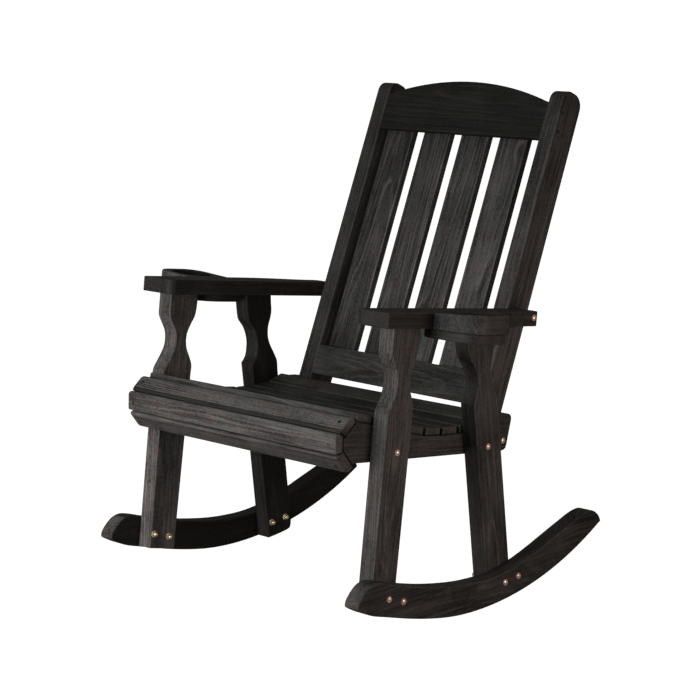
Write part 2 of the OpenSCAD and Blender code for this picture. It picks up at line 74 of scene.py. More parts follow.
def rounded(pts, seg=4):
    """Corner points (x, y) or (x, y, radius): each with a radius becomes an arc. Gives (x, y, edge weight); the weight
    makes edges paler, partly from use and partly as a painted highlight.
    """
    out, n = [], len(pts)
    for i, p in enumerate(pts):
        r = p[2] if len(p) > 2 else 0
        if not r:
            out.append((p[0], p[1], 0.0))
            continue
        q = Vector(p[:2])
        a = (Vector(pts[i - 1][:2]) - q)
        b = (Vector(pts[(i + 1) % n][:2]) - q)
        la, lb = a.length, b.length
        a.normalize(); b.normalize()
        half = a.angle(b) / 2
        t = min(r / math.tan(half), la * 0.64, lb * 0.64)
        r = t * math.tan(half)
        c = q + (a + b).normalized() * (r / math.sin(half))
        s, e = q + a * t - c, q + b * t - c
        turn = math.atan2(s.x * e.y - s.y * e.x, s.dot(e))
        for k in range(seg + 1):
            th = turn * k / seg
            v = Vector((s.x * math.cos(th) - s.y * math.sin(th), s.x * math.sin(th) + s.y * math.cos(th)))
            out.append((c.x + v.x, c.y + v.y, math.sin(math.pi * k / seg)))
    return out


def area(o):
    return 0.5 * sum(o[i][0] * o[(i + 1) % len(o)][1] - o[(i + 1) % len(o)][0] * o[i][1] for i in range(len(o)))


def clean(o, eps=0.05):
    out = []
    for p in o:
        p = (p[0], p[1], p[2] if len(p) > 2 else 0.0)
        if not out or math.hypot(p[0] - out[-1][0], p[1] - out[-1][1]) > eps:
            out.append(p)
    while math.hypot(out[0][0] - out[-1][0], out[0][1] - out[-1][1]) <= eps:
        out.pop()
    return out if area(out) > 0 else out[::-1]


def inset(o, d):
    if d == 0:
        return [(p[0], p[1]) for p in o]
    n, out = len(o), []
    for i in range(n):
        a, p, b = Vector(o[i - 1][:2]), Vector(o[i][:2]), Vector(o[(i + 1) % n][:2])
        e1, e2 = (p - a).normalized(), (b - p).normalized()
        n1, n2 = Vector((-e1.y, e1.x)), Vector((-e2.y, e2.x))
        k = max(1 + n1.dot(n2), 0.35)
        q = p + (n1 + n2) * (d / k)
        out.append((q.x, q.y))
    return out


# ------------------------------------------------------------------ frames of the boards, all in mm
SIDE = Matrix(((0, 0, 1, 0), (1, 0, 0, 0), (0, 1, 0, 0), (0, 0, 0, 1)))
cR, sR = math.cos(RAD(RECL)), math.sin(RAD(RECL))
STILE_F = Matrix(((0, 0, 1, 0), (cR, sR, 0, BACK_Y0), (-sR, cR, 0, 0), (0, 0, 0, 1)))
LEAN_F = Matrix(((1, 0, 0, 0), (0, sR, -cR, BACK_Y0), (0, cR, sR, 0), (0, 0, 0, 1)))
cA, sA = math.cos(RAD(ARM_A)), math.sin(RAD(ARM_A))
ARM_F = Matrix(((1, 0, 0, 0), (0, cA, sA, ARM_Y0), (0, -sA, cA, ARM_Z0), (0, 0, 0, 1)))


def posed_y(p):
    return p[0] * math.cos(RAD(TILT)) + (p[1] - ROCK_R) * math.sin(RAD(TILT))


ROCKER_UNDER = [[-363.5, 81.1], [-345, 70.9], [-330, 64], [-315, 58.7], [-300, 54.4], [-286, 50.7], [-265, 44.6], [-240, 37.6],
                [-220, 32.1], [-195, 25.8], [-170, 20], [-145, 14.8], [-120, 10.1], [-90, 5.5], [-60, 2.4], [-30, 0.5]]
ROCKER_TOP = [[-367, 84], [-364.5, 95], [-352, 109.5], [-335, 121.5], [-314, 125.5], [-290, 120.5],
              [-250, 108], [-200, 94], [-150, 82], [-100, 72.5], [-50, 65], [0, 61], [50, 60], [100, 64.5],
              [150, 75.5], [200, 90], [250, 106.5], [300, 122.5], [335, 133.5], [364, 138.5], [384, 135.5], [402, 123], [410.5, 108]]
STILE_R = 25.0
STILE_OUT = ([[0, 300]] + arc([STILE_R, STILE_TOP - STILE_R], STILE_R, 90, 180, 8)[::-1]
             + arc([67.8 - STILE_R - 4, STILE_TOP - STILE_R - 4], STILE_R + 4, 0, 90, 8)[::-1]
             + [[72.7, 442], [73.7, 300]])
Y_FRONT = min(posed_y(p) for p in curve(ROCKER_TOP, 2))
Y_BACK = max(posed_y((BACK_Y0 + p[0] * cR + p[1] * sR, p[1] * cR - p[0] * sR)) for p in STILE_OUT)
Y_MID = (Y_FRONT + Y_BACK) / 2
POSE = Matrix.Translation((0, -Y_MID, ROCK_R)) @ Matrix.Rotation(RAD(-TILT), 4, "X") @ Matrix.Translation((0, 0, -ROCK_R))
TO_ROW = Matrix.Scale(0.001, 4) @ POSE


# ------------------------------------------------------------------ materials
def node_tool(nt):
    def new(kind, **kw):
        n = nt.nodes.new(kind)
        ins = kw.pop("ins", {})
        for k, v in kw.items():
            setattr(n, k, v)
        for k, v in ins.items():
            if isinstance(v, bpy.types.NodeSocket):
                nt.links.new(v, n.inputs[k])
            else:
                n.inputs[k].default_value = v
        return n

    def math_(op, a, b=0.0, c=0.0, clamp=False):
        n = new("ShaderNodeMath", operation=op, use_clamp=clamp)
        for i, v in enumerate((a, b, c)):
            if isinstance(v, bpy.types.NodeSocket):
                nt.links.new(v, n.inputs[i])
            else:
                n.inputs[i].default_value = v
        return n.outputs[0]

    def mix(fac, a, b, blend="MIX"):
        n = new("ShaderNodeMix", data_type="RGBA", blend_type=blend)
        for i, v in ((0, fac), (6, a), (7, b)):
            if isinstance(v, bpy.types.NodeSocket):
                nt.links.new(v, n.inputs[i])
            else:
                n.inputs[i].default_value = v if i == 0 or len(v) == 4 else (*v, 1)
        return n.outputs[2]

    def ramp(fac, stops, interp="LINEAR"):
        n = new("ShaderNodeValToRGB")
        n.color_ramp.interpolation = interp
        while len(n.color_ramp.elements) > 1:
            n.color_ramp.elements.remove(n.color_ramp.elements[0])
        n.color_ramp.elements[0].position = stops[0][0]
        n.color_ramp.elements[0].color = (*([stops[0][1]] * 3), 1) if not isinstance(stops[0][1], tuple) else (*stops[0][1], 1)
        for pos, v in stops[1:]:
            e = n.color_ramp.elements.new(pos)
            e.color = (*([v] * 3), 1) if not isinstance(v, tuple) else (*v, 1)
        nt.links.new(fac, n.inputs[0])
        return n.outputs[0]

    def noise(vec, scale, detail=2.0, rough=0.5, dist=0.0):
        return new("ShaderNodeTexNoise", ins={"Vector": vec, "Scale": scale, "Detail": detail, "Roughness": rough, "Distortion": dist})

    def scaled(vec, s):
        return new("ShaderNodeVectorMath", operation="MULTIPLY", ins={0: vec, 1: s}).outputs[0]
    return new, math_, mix, ramp, noise, scaled


def base_material(name):
    m = bpy.data.materials.new(name)
    m.use_nodes = True
    nt = m.node_tree
    nt.nodes.clear()
    out = nt.nodes.new("ShaderNodeOutputMaterial")
    b = nt.nodes.new("ShaderNodeBsdfPrincipled")
    nt.links.new(b.outputs[0], out.inputs[0])
    return m, nt, b


def wood_material(name, dark, light, brown, olive):
    m, nt, b = base_material(name)
    new, math_, mix, ramp, noise, scaled = node_tool(nt)
    p = new("ShaderNodeAttribute", attribute_type="GEOMETRY", attribute_name="wood").outputs["Vector"]
    wear_and_sheen = new("ShaderNodeAttribute", attribute_type="GEOMETRY", attribute_name="wear_and_sheen").outputs["Fac"]
    shade = new("ShaderNodeAttribute", attribute_type="GEOMETRY", attribute_name="tone").outputs["Fac"]
    # a few knots, each in its own cell of the wood's space
    cell = new("ShaderNodeTexVoronoi", feature="F1", ins={"Vector": scaled(p, (3.4, 10.0, 10.0)), "Scale": 1.0, "Randomness": 1.0})
    pick = new("ShaderNodeSeparateXYZ", ins={0: cell.outputs["Color"]}).outputs[0]
    keep = math_("GREATER_THAN", pick, 0.80)
    near = math_("MULTIPLY", ramp(cell.outputs["Distance"], [(0.0, 1.0), (0.16, 0.72), (0.34, 0.22), (0.60, 0.0)], "EASE"), keep)
    heart = math_("MULTIPLY", ramp(cell.outputs["Distance"], [(0.0, 1.0), (0.07, 0.9), (0.13, 0.0)], "EASE"), keep)
    # growth rings: distance from the pith, bent by slow noise along the board and around the knots
    slow = noise(scaled(p, (2.2, 12.0, 12.0)), 1.0, 2.0, 0.55)
    off = new("ShaderNodeVectorMath", operation="SUBTRACT", ins={0: slow.outputs["Color"], 1: (0.5, 0.5, 0.5)}).outputs[0]
    bent = new("ShaderNodeVectorMath", operation="ADD", ins={0: p, 1: scaled(off, (0.0, 0.022, 0.022))}).outputs[0]
    sx = new("ShaderNodeSeparateXYZ", ins={0: bent})
    r = math_("SQRT", math_("ADD", math_("MULTIPLY", sx.outputs[1], sx.outputs[1]), math_("MULTIPLY", sx.outputs[2], sx.outputs[2])))
    jig = noise(scaled(p, (8.0, 60.0, 60.0)), 1.0, 2.0, 0.5).outputs["Fac"]
    phase = math_("ADD", math_("MULTIPLY", r, 190.0), math_("MULTIPLY", jig, 0.7))
    phase = math_("ADD", phase, math_("MULTIPLY", near, 4.5))
    ring = math_("FRACT", phase)
    late = ramp(ring, [(0.0, 0.10), (0.40, 0.0), (0.70, 0.30), (0.84, 1.0), (0.94, 0.70), (1.0, 0.10)], "EASE")
    # each ring has its own strength
    vary = new("ShaderNodeTexWhiteNoise", noise_dimensions="1D", ins={"W": math_("FLOOR", phase)}).outputs["Value"]
    late = math_("MULTIPLY", late, math_("MULTIPLY_ADD", vary, 0.9, 0.2))
    # and the rings fade in and out along the board
    fade = noise(scaled(p, (5.0, 22.0, 22.0)), 1.3, 2.0, 0.55).outputs["Fac"]
    late = math_("MULTIPLY", late, ramp(fade, [(0.34, 0.25), (0.62, 1.15)]))
    # fibres, fine streaks along the grain, and slow blotches of the stain
    fibre = noise(scaled(p, (2.6, 300.0, 300.0)), 1.0, 3.0, 0.70).outputs["Fac"]
    streak = noise(scaled(p, (1.8, 120.0, 120.0)), 1.0, 3.0, 0.62).outputs["Fac"]
    blot = noise(scaled(p, (8.0, 16.0, 16.0)), 1.0, 3.0, 0.60).outputs["Fac"]
    speck = noise(scaled(p, (170.0, 260.0, 260.0)), 1.0, 2.0, 0.65).outputs["Fac"]
    tone = math_("ADD", math_("MULTIPLY", late, 0.62), math_("MULTIPLY", math_("SUBTRACT", fibre, 0.5), 1.35))
    tone = math_("ADD", tone, math_("MULTIPLY", math_("SUBTRACT", streak, 0.5), 0.80))
    tone = math_("ADD", tone, math_("MULTIPLY", math_("SUBTRACT", speck, 0.5), 1.0))
    tone = math_("ADD", tone, math_("MULTIPLY_ADD", blot, 1.25, -0.32), clamp=True)
    col = mix(tone, dark, light)
    # the timber's brown and a greenish cast show through the stain in soft patches
    patch = ramp(noise(scaled(p, (55.0, 75.0, 75.0)), 1.0, 2.0, 0.6).outputs["Fac"], [(0.50, 0.0), (0.68, 1.0)])
    moss = ramp(noise(scaled(p, (45.0, 60.0, 60.0)), 1.7, 2.0, 0.6).outputs["Fac"], [(0.52, 0.0), (0.72, 1.0)])
    col = mix(math_("MULTIPLY", patch, 0.60), col, mix(1.0, col, brown, "MULTIPLY"))
    col = mix(math_("MULTIPLY", moss, 0.45), col, mix(1.0, col, olive, "MULTIPLY"))
    col = mix(math_("MULTIPLY", heart, 0.75), col, dark)
    # rounded edges are drawn a little paler, unevenly: partly from use, partly a painted highlight where the edges
    # catch the light
    edge_mottle = ramp(noise(scaled(p, (14.0, 90.0, 90.0)), 1.0, 3.0, 0.6).outputs["Fac"], [(0.40, 0.0), (0.66, 1.0)])
    pale_edge = math_("MULTIPLY", wear_and_sheen, math_("MULTIPLY_ADD", edge_mottle, 0.42, 0.12))
    col = mix(pale_edge, col, tuple(c * 1.35 for c in light))
    # each board's stain and its painted light and shade, from the tone attribute, scale the colour
    grey = new("ShaderNodeCombineXYZ", ins={0: shade, 1: shade, 2: shade}).outputs[0]
    col = mix(1.0, col, grey, "MULTIPLY")
    nt.links.new(col, b.inputs["Base Color"])
    rough = math_("ADD", 0.52, math_("MULTIPLY", fibre, 0.22))
    nt.links.new(rough, b.inputs["Roughness"])
    b.inputs["Specular IOR Level"].default_value = 0.30
    h = math_("ADD", math_("MULTIPLY", late, 0.45), math_("MULTIPLY", fibre, 0.95))
    h = math_("ADD", h, math_("MULTIPLY", streak, 0.55))
    bump = new("ShaderNodeBump", ins={"Strength": 0.5, "Distance": 0.0006, "Height": h})
    nt.links.new(bump.outputs[0], b.inputs["Normal"])
    return m


def metal_material(name, bright, dull, rough_lo, rough_hi, metallic=1.0):
    m, nt, b = base_material(name)
    new, math_, mix, ramp, noise, scaled = node_tool(nt)
    tc = new("ShaderNodeTexCoord").outputs["Object"]
    n1 = noise(tc, 420.0, 4.0, 0.6).outputs["Fac"]
    n2 = noise(tc, 1800.0, 2.0, 0.5).outputs["Fac"]
    f = ramp(n1, [(0.38, 0.0), (0.66, 1.0)])
    nt.links.new(mix(f, bright, dull), b.inputs["Base Color"])
    b.inputs["Metallic"].default_value = metallic
    nt.links.new(math_("ADD", rough_lo, math_("MULTIPLY", f, rough_hi - rough_lo)), b.inputs["Roughness"])
    bump = new("ShaderNodeBump", ins={"Strength": 0.35, "Distance": 0.0002, "Height": math_("ADD", n1, math_("MULTIPLY", n2, 0.4))})
    nt.links.new(bump.outputs[0], b.inputs["Normal"])
    return m


WOOD = wood_material("charcoal_wood", (0.0100, 0.0096, 0.0100), (0.0920, 0.0890, 0.0900), (1.40, 0.90, 0.88), (1.00, 1.06, 0.76))
# how dark each board is drawn, where it differs: partly its stain, partly painted light and shade for how the light
# falls on each board
STAIN_AND_SHADE = {
    "rocker_left": 0.86, "rocker_right": 0.45, "front_leg_left": 1.30, "front_leg_right": 1.50, "back_leg_left": 0.98,
    "back_leg_right": 0.22, "seat_rail_left": 0.78, "seat_rail_right": 0.85, "seat_slat_1": 1.30, "seat_slat_2": 0.95,
    "seat_slat_3": 0.85, "seat_slat_4": 0.90, "seat_slat_6": 1.10, "seat_slat_8": 1.05, "nose_slat_1": 1.25,
    "nose_slat_2": 1.65, "nose_slat_3": 1.90, "back_stile_left": 1.05, "back_stile_right": 0.98, "crest_rail": 0.28,
    "back_slat_1": 1.12, "back_slat_2": 1.12, "back_slat_3": 1.18, "back_slat_4": 1.34, "armrest_left": 0.74,
    "armrest_right": 0.41, "cup_block_left": 0.72, "cup_block_right": 1.35, "cup_plate_left": 0.56, "cup_plate_right": 0.45}
COPPER = metal_material("copper_bolt", (1.0, 0.76, 0.64), (0.85, 0.50, 0.36), 0.15, 0.28, 0.60)
BRASS = metal_material("brass_nut", (1.0, 0.88, 0.62), (0.62, 0.46, 0.26), 0.13, 0.28, 0.75)
STEEL = metal_material("dull_screw", (0.16, 0.14, 0.13), (0.05, 0.04, 0.035), 0.45, 0.65)


# ------------------------------------------------------------------ mesh helpers
def prism(outline, w0, w1, r, seg=4, r_low=None, r_high=None):
    """Solid between w0 and w1 with quarter-round edges. Gives vertices, faces and the edge weight of each vertex, which
    makes edges paler: partly from use, partly as a painted highlight.
    """
    o = clean(outline)
    rl = r if r_low is None else r_low
    rh = r if r_high is None else r_high
    rings = []
    if rl:
        for k in range(seg + 1):
            th = math.pi / 2 * k / seg
            rings.append((w0 + rl * (1 - math.cos(th)), rl * (1 - math.sin(th)), math.sin(2 * th)))
    else:
        rings.append((w0, 0.0, 0.0))
    if rh:
        for k in range(seg, -1, -1):
            th = math.pi / 2 * k / seg
            rings.append((w1 - rh * (1 - math.cos(th)), rh * (1 - math.sin(th)), math.sin(2 * th)))
    else:
        rings.append((w1, 0.0, 0.0))
    n, verts, wear_and_sheen = len(o), [], []
    for w, d, wr in rings:
        for q, p in zip(inset(o, d), o):
            verts.append((q[0], q[1], w))
            wear_and_sheen.append(max(wr, p[2]))
    faces = [[j * n + (i + 1) % n, j * n + i, (j + 1) * n + i, (j + 1) * n + (i + 1) % n][::-1]
             for j in range(len(rings) - 1) for i in range(n)]
    faces.append(list(range(n))[::-1])
    faces.append([(len(rings) - 1) * n + i for i in range(n)])
    return verts, faces, wear_and_sheen


def lathe(profile, seg=32):
    """Profile of (radius, height), from the axis at the bottom to the axis at the top."""
    verts, faces, rows = [], [], []
    for r, h in profile:
        if r < 1e-6:
            rows.append([len(verts)])
            verts.append((0.0, 0.0, h))
        else:
            rows.append(list(range(len(verts), len(verts) + seg)))
            verts += [(r * math.cos(2 * math.pi * k / seg), r * math.sin(2 * math.pi * k / seg), h) for k in range(seg)]
    for a, b in zip(rows, rows[1:]):
        for k in range(seg):
            k2 = (k + 1) % seg
            if len(a) == 1:
                faces.append([a[0], b[k2], b[k]][::-1])
            elif len(b) == 1:
                faces.append([a[k], a[k2], b[0]])
            else:
                faces.append([a[k], a[k2], b[k2], b[k]])
    return verts, faces


def make_object(name, verts, faces):
    me = bpy.data.meshes.new(name)
    me.from_pydata([tuple(v) for v in verts], [], faces)
    bm = bmesh.new()
    bm.from_mesh(me)
    bmesh.ops.recalc_face_normals(bm, faces=bm.faces)
    bm.to_mesh(me)
    bm.free()
    ob = bpy.data.objects.new(name, me)
    scene.collection.objects.link(ob)
    return ob


def apply_modifiers(ob):
    dg = bpy.context.evaluated_depsgraph_get()
    new = bpy.data.meshes.new_from_object(ob.evaluated_get(dg))
    old = ob.data
    ob.modifiers.clear()
    ob.data = new
    bpy.data.meshes.remove(old)
    new.name = ob.name


def cut(ob, solids):
    """Takes each (verts, faces) solid away from ob."""
    verts, faces = [], []
    for v, f in solids:
        k = len(verts)
        verts += v
        faces += [[i + k for i in q] for q in f]
    tool = make_object("cutter", verts, faces)
    mod = ob.modifiers.new("cut", "BOOLEAN")
    mod.operation, mod.solver, mod.object = "DIFFERENCE", "EXACT", tool
    apply_modifiers(ob)
    bpy.data.objects.remove(tool)


def smooth(ob, angle=38):
    me = ob.data
    me.polygons.foreach_set("use_smooth", [True] * len(me.polygons))
    me.set_sharp_from_angle(angle=RAD(angle))
    mod = ob.modifiers.new("flat_faces", "WEIGHTED_NORMAL")
    mod.weight, mod.keep_sharp, mod.mode = 100, True, "FACE_AREA"
    apply_modifiers(ob)


PIECES = []


def finish_piece(ob, mat, nodes):
    ob.data.materials.clear()
    ob.data.materials.append(mat)
    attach(ob, "root")
    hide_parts(*nodes)
    PIECES.append(ob)


def board(node, outline, w0, w1, frame_m, grain, r=5.0, seg=4, holes=(), shapes=(), r_low=None, r_high=None, pith=None, warp=None, shade=None, rings=()):
    """One board: an outline in its frame's (u, v), thick from w0 to w1, with grain along a direction given in (u, v, w)."""
    verts, faces, wear_and_sheen = prism(outline, w0, w1, r, seg, r_low, r_high)
    if warp:
        verts = [warp(v) for v in verts]
    ob = make_object(node + "_board", verts, faces)
    known = {tuple(round(c, 3) for c in v): w for v, w in zip(verts, wear_and_sheen)}
    solids = list(shapes)
    for at, axis, radius, lo, hi in holes:
        q = Vector(axis).normalized().to_track_quat("Z", "Y").to_matrix()
        v, f = lathe([(0, lo), (radius, lo), (radius, hi), (0, hi)], 20)
        solids.append(([tuple(q @ Vector(c) + Vector(at)) for c in v], f))
    if solids:
        cut(ob, solids)
    # the board's own wood: u along the grain, from a log whose heart lies outside the board
    g = Vector(grain).normalized()
    th = Vector((0, 0, 1)) if abs(g.z) < 0.9 else Vector((1, 0, 0))
    wd = th.cross(g).normalized()
    th = g.cross(wd)
    mid = sum((Vector(v) for v in verts), Vector()) / len(verts)
    rnd = random.Random(node)
    a0 = rnd.uniform(2, 40)
    b0 = rnd.uniform(-28, 28) if pith is None else pith[0]
    c0 = rnd.choice((-1, 1)) * rnd.uniform(32, 70) if pith is None else pith[1]
    tb, tc = RAD(rnd.uniform(-1.0, 1.0)), RAD(rnd.uniform(-2.4, 2.4))
    vals_w, vals_e = [], []
    for v in ob.data.vertices:
        d = v.co - mid
        a, b_, c_ = d.dot(g), d.dot(wd), d.dot(th)
        vals_w += [a0 + a * 0.001, (b_ + b0 + a * math.tan(tb)) * 0.001, (c_ + c0 + a * math.tan(tc)) * 0.001]
        vals_e.append(known.get(tuple(round(x, 3) for x in v.co), 0.0))

    def store(nm, kind, vals):
        at = ob.data.attributes.get(nm) or ob.data.attributes.new(nm, kind, "POINT")
        at.data.foreach_set("vector" if kind == "FLOAT_VECTOR" else "value", vals)
    store("wood", "FLOAT_VECTOR", vals_w)
    store("wear_and_sheen", "FLOAT", vals_e)
    if rings:
        bm = bmesh.new()
        bm.from_mesh(ob.data)
        for at_v in rings:
            bmesh.ops.bisect_plane(bm, geom=bm.verts[:] + bm.edges[:] + bm.faces[:], dist=1e-4, plane_co=(0, at_v, 0), plane_no=(0, 1, 0))
        bm.to_mesh(ob.data)
        bm.free()
    # tone: each board's stain and its painted light and shade, per vertex
    store("tone", "FLOAT", [STAIN_AND_SHADE.get(node, 1.0) * (shade(v.co) if shade else 1.0) for v in ob.data.vertices])
    ob.data.transform(TO_ROW @ frame_m)
    smooth(ob)
    finish_piece(ob, WOOD, [node])
    return ob


def fastener(node, parts, mat):
    """parts: (verts, faces, matrix in the drawing's frame)."""
    verts, faces = [], []
    for v, f, m in parts:
        k = len(verts)
        verts += [tuple(TO_ROW @ m @ Vector(c)) for c in v]
        faces += [[i + k for i in q] for q in f]
    ob = make_object(node + "_set", verts, faces)
    smooth(ob, 40)
    finish_piece(ob, mat, [node])
    return ob


def both(name, fn):
    for s, side in ((1, "left"), (-1, "right")):
        fn(f"{name}_{side}", s)


def span(s, a, b):
    return (a, b) if s > 0 else (-b, -a)


# ------------------------------------------------------------------ camera: the photograph's
YAW, PITCH = RAD(43.325), RAD(10.444)
fwd = Vector((-math.sin(YAW) * math.cos(PITCH), math.cos(YAW) * math.cos(PITCH), -math.sin(PITCH)))
right = Vector((math.cos(YAW), math.sin(YAW), 0))
up = right.cross(fwd)
eye = Vector((116.088, -122.434, 50.561)) * 25.4
cam_data = bpy.data.cameras.new("photo_camera")
cam_data.sensor_width = 36.0
cam_data.lens = 2039.167 / 700 * 36.0
cam_data.clip_end = 200
cam = bpy.data.objects.new("photo_camera", cam_data)
scene.collection.objects.link(cam)
cm = POSE @ Matrix(((right.x, up.x, -fwd.x, eye.x), (right.y, up.y, -fwd.y, eye.y), (right.z, up.z, -fwd.z, eye.z), (0, 0, 0, 1)))
cm.translation = cm.translation * 0.001
cam.matrix_world = cm
scene.camera = cam

# ------------------------------------------------------------------ rockers
BOLTS = [(-280, 86), (-238, 72), (79, 41), (122, 45.5)]


def rocker(node, s):
    top = curve(ROCKER_TOP, 4)
    a0, a1 = math.degrees(math.asin(409.5 / ROCK_R)), math.degrees(math.asin(-28.0 / ROCK_R))
    bottom = arc([0, ROCK_R], ROCK_R, -90 + a0, -90 + a1, 36) + curve(ROCKER_UNDER, 4)[::-1]
    w0, w1 = span(s, X_ROCK, HALF_W)

    def tone(c):
        """The front end's sawn face is drawn paler than the sides, a painted light. Elsewhere the far rocker is drawn
        darker as painted shade, and the near one darker toward the back.
        """
        if w0 + 3.1 < c.z < w1 - 3.1 and c.x < -325 and c.y > 80 - (c.x + 367) * 0.2:
            return 4.2 if s < 0 else 1.5
        return 0.45 if s < 0 else 1.0 - 0.28 * min(max(c.x / 120, 0.0), 1.0)
    board(node, top + bottom[1:], w0, w1, SIDE, (1, 0, 0), r=3.2, shade=tone)


both("rocker", rocker)

# ------------------------------------------------------------------ legs
FLF = {1: [[-244.5, 424], [-241, 442], [-232, 457], [-223.5, 473], [-217, 490], [-214.5, 508], [-216, 525], [-223.5, 543], [-229, 560], [-227.5, 578], [-224.5, 600]],
       -1: [[-245, 424], [-242, 442], [-232, 457], [-219.5, 473], [-209.5, 490], [-206, 508], [-208, 525], [-216.5, 543], [-223, 560], [-221.5, 578], [-218.5, 600]]}
FLB = {1: [[-170, 424], [-167.5, 444], [-170.5, 463], [-176, 482], [-176, 500], [-172, 517], [-162, 534], [-153, 551], [-149, 569], [-146.5, 585]],
       -1: [[-164.5, 424], [-161.5, 444], [-167, 463], [-174.5, 482], [-176, 500], [-172, 517], [-161.5, 534], [-149, 551], [-143.5, 569], [-140.5, 585]]}
BLF = {1: [[20, 419], [25.5, 432], [31, 450], [31.5, 468], [27.5, 487], [18.5, 504], [6.5, 519], [1, 536], [-1, 556]],
       -1: [[22, 419], [33.5, 433], [37.5, 450], [38.5, 468], [34, 487], [25.5, 504], [13.5, 519], [9.5, 536], [7.5, 556]]}
BLB = {1: [[98, 398], [96.5, 418], [88, 438], [77, 458], [72, 478], [72.5, 500], [77, 516], [80, 534], [77.5, 554]],
       -1: [[102.5, 398], [101, 418], [91, 438], [79.5, 458], [73, 478], [74, 500], [80, 516], [84.5, 534], [83.5, 554]]}
FRONT_TOP = {1: (-224, -145.5), -1: (-218, -139.5)}
BACK_TOP = {1: (-2, 77), -1: (6.5, 83)}


def leg_shade(s, mid0, slope, w0, w1, r, front):
    """Tone of a leg: its front edge took the stain differently from its sides."""
    # Painted light and shade on a leg: its front edge is drawn paler or darker than its sides by how the light falls on
    # it, and paler toward the foot.
    def tone(c):
        edge = w0 + r - 0.1 < c.z < w1 - r + 0.1
        return front * (1.12 - 0.24 * c.y / 600) if edge and c.x < mid0 + slope * c.y else 1.0
    return tone


def arm_under(y):
    return ARM_Z0 - (y - ARM_Y0) * math.tan(RAD(ARM_A)) - ARM_T / cA


def foot_z(y):
    return ROCK_R - math.sqrt((ROCK_R - LIFT) ** 2 - y * y)


def front_leg(node, s):
    ta, tb = FRONT_TOP[s]
    o = ([[-291.5, 55.4]] + curve(FLF[s], 4) + [[ta, arm_under(ta) + 5], [tb, arm_under(tb) + 5]]
         + curve(FLB[s], 4)[::-1] + [[-224.0 if s > 0 else -221.6, 40]])
    w0, w1 = span(s, X_LEG, X_ROCK)
    board(node, o, w0, w1, SIDE, (0.135, 1, 0), r=2.6,
          rings=(300, 370) if s > 0 else (), shade=near_front_painted_light if s > 0 else leg_shade(s, -263, 0.134, w0, w1, 2.6, 1.60))


def near_front_painted_light(c):
    """Painted light: the front face is drawn paler where it passes the seat."""
    edge = X_LEG + 2.5 < c.z < X_ROCK - 2.5 and c.x < -263 + 0.134 * c.y
    return 1.0 + 0.5 * max(1.0 - abs(c.y - 395) / 90, 0.0) if edge else 1.0


def back_leg(node, s):
    ta, tb = BACK_TOP[s]
    top = curve(BLF[s], 4) + [[ta, arm_under(ta) + 5], [tb, arm_under(tb) + 5]] + curve(BLB[s], 4)[::-1]
    foot = [[y, max(foot_z(y), z)] for y, z in ((147.8 - 0.135 * 52, 52), (143, 34), (142.3, 24), (139, 16), (130, 8), (118, 0), (102, 0), (86, 0), (71, 0))]
    w0, w1 = span(s, X_LEG, X_ROCK)
    board(node, top + foot, w0, w1, SIDE, (-0.118, 1, 0), r=2.6,
          shade=leg_shade(s, 109, -0.126, w0, w1, 2.6, 0.55 if s > 0 else 3.2))


both("front_leg", front_leg)
both("back_leg", back_leg)

# ------------------------------------------------------------------ seat
SLOPES = [-0.28, -0.33, -0.33, -0.27, -0.15, -0.08, 0.06, 0.30]


def sdir(i):
    return Vector((1, SLOPES[i])).normalized()


def nrm(d):
    return Vector((-d.y, d.x))


SEATS = [Vector((-288.5, 429))]
for i in range(7):
    SEATS.append(SEATS[-1] + sdir(i) * (SLAT_W + SLAT_GAP))
# the last entry of each nose slat shades it: the first is drawn darker toward +X, and the second's rounded top edge is
# painted dark as shade
NOSE = [(Vector((-323.8, 375.4)), Vector((0.614, -0.789)).normalized(), 43.5, -1, 7, 0, 4.5, 13.0, lambda c: 0.98 - 0.18 * c.z / 305),
        (Vector((-325.2, 405.5)), Vector((-0.037, -1.0)).normalized(), 30, -1, 14.5, 3.5, 8.0, 4.5, lambda c: 0.25 if c.y > 418.0 else 1.0),
        (Vector((-320.3, 402.5)), Vector((0.768, 0.640)).normalized(), 41, 1, 5, 0, 0.0, 13.5)]


def rail_under(y):
    return 314 - 0.1136 * y


RAIL = ([[-302.5, rail_under(-302.5)], [-323.8, 375.4], [-326.2, 380], [-325.2, 402.5], [-320.3, 402.5]]
        + [list(q) for i in range(8) for q in (SEATS[i], SEATS[i] + sdir(i) * SLAT_W)]
        + [[SEATS[7].x + SLAT_W * sdir(7).x + 1, 381.5], [150, 379], [172, 374.5], [184, 371],
           [188.5, 366], [189, 359], [174, 307], [171, 300], [165, 296.5], [158, rail_under(158)]])
both("seat_rail", lambda node, s: board(node, RAIL, *span(s, X_RAIL, X_LEG), SIDE, (1, -0.11, 0), r=3.0))

SCREW_X = X_RAIL + STOCK / 2
SCREWS = {"seat_screws": [], "back_screws": [], "stile_screws": [], "arm_screws": []}


